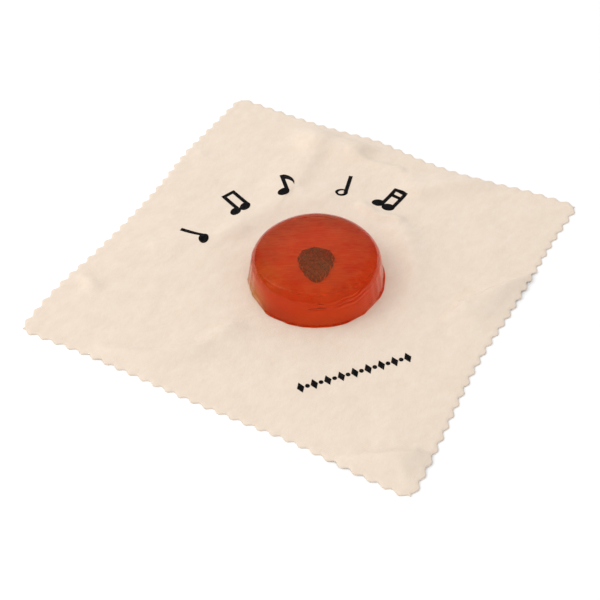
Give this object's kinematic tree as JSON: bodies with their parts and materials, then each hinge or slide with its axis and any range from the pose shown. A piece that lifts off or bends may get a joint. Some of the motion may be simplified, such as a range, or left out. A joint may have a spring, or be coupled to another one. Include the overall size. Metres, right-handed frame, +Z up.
{
  "type": "rosin cake on its wrapping cloth",
  "caption": "Round cake of bow rosin with soft shoulders, lying loose on a square flannel wrapping cloth with a pinked edge and small printed notes.",
  "frame": {"origin": "middle of the cloth's square, on its lower face, where it rests", "axes": "+Z up out of the cloth; X and Y along the cloth's two pairs of edges"},
  "size_m": [0.1498, 0.1498, 0.0147],
  "materials": {
    "amber_resin": "glassy, see-through deep amber",
    "dark_pigment": "matt dark maroon",
    "cream_flannel": "soft brushed cotton",
    "black_ink": "matt printing ink"
  },
  "bodies": {
    "cloth": {"wrapping_cloth": "cream_flannel", "quarter_note_print": "black_ink", "beamed_notes_print": "black_ink", "eighth_note_print": "black_ink", "half_note_print": "black_ink", "sixteenth_notes_print": "black_ink", "row_print": "black_ink"},
    "cake": {"rosin_cake": "amber_resin", "cake_mark": "dark_pigment"}
  },
  "joints": [
    {"name": "cake_lift", "type": "slide", "parent": "cloth", "child": "cake", "axis": [0, 0, 1], "range_m": [0, 0.03]}
  ]
}
